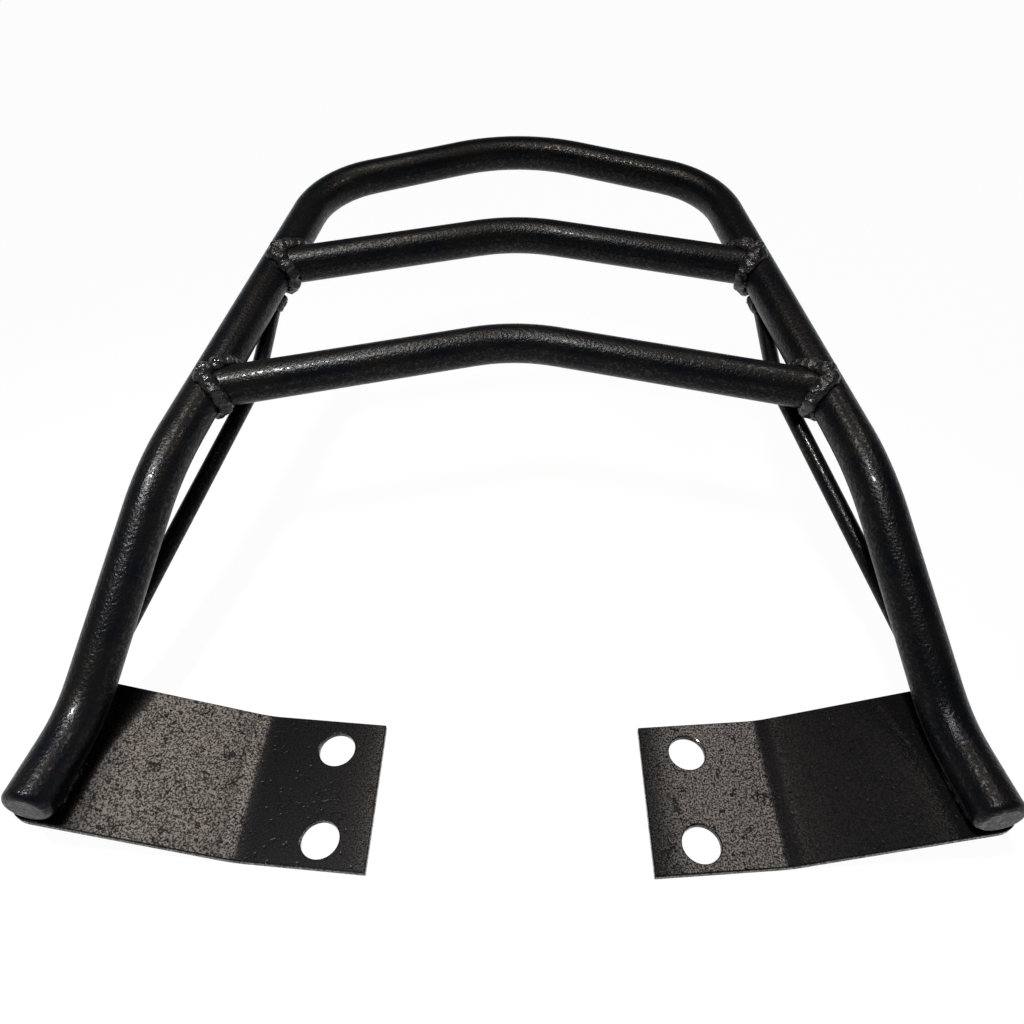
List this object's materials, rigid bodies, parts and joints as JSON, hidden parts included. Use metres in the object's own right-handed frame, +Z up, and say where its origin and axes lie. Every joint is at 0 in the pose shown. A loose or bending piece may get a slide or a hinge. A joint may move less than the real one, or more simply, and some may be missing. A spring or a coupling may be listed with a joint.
{
  "type": "motorcycle luggage rack",
  "caption": "Bent-tube motorcycle rear luggage rack with kinked crossbars, thin side braces and folded bolt-on mounting plates.",
  "frame": {"origin": "centre of the four bolt holes, on the underside of the mounting plates", "axes": "+Z up, square to the plates' level tabs and along the bolts; +Y rearwards over the platform; +X to the rack's side, so that the rack is mirrored about X = 0"},
  "size_m": [0.374, 0.3941, 0.1388],
  "materials": {
    "tube_paint": "semi-gloss black paint with a fine grain",
    "weld_paint": "the same black paint over lumpy weld metal",
    "plate_paint": "thin, mottled and pitted black paint on sheet steel"
  },
  "bodies": {
    "root": {"hoop_tube": "tube_paint", "front_crossbar": "tube_paint", "rear_crossbar": "tube_paint", "left_plate": "plate_paint", "right_plate": "plate_paint", "left_brace": "tube_paint", "right_brace": "tube_paint", "left_end_cap": "tube_paint", "right_end_cap": "tube_paint", "front_left_bead": "weld_paint", "front_right_bead": "weld_paint", "rear_left_bead": "weld_paint", "rear_right_bead": "weld_paint", "left_inner_seam": "weld_paint", "right_inner_seam": "weld_paint", "left_outer_seam": "weld_paint", "right_outer_seam": "weld_paint", "left_brace_top_tack": "weld_paint", "right_brace_top_tack": "weld_paint", "left_brace_foot_tack": "weld_paint", "right_brace_foot_tack": "weld_paint"}
  },
  "joints": []
}
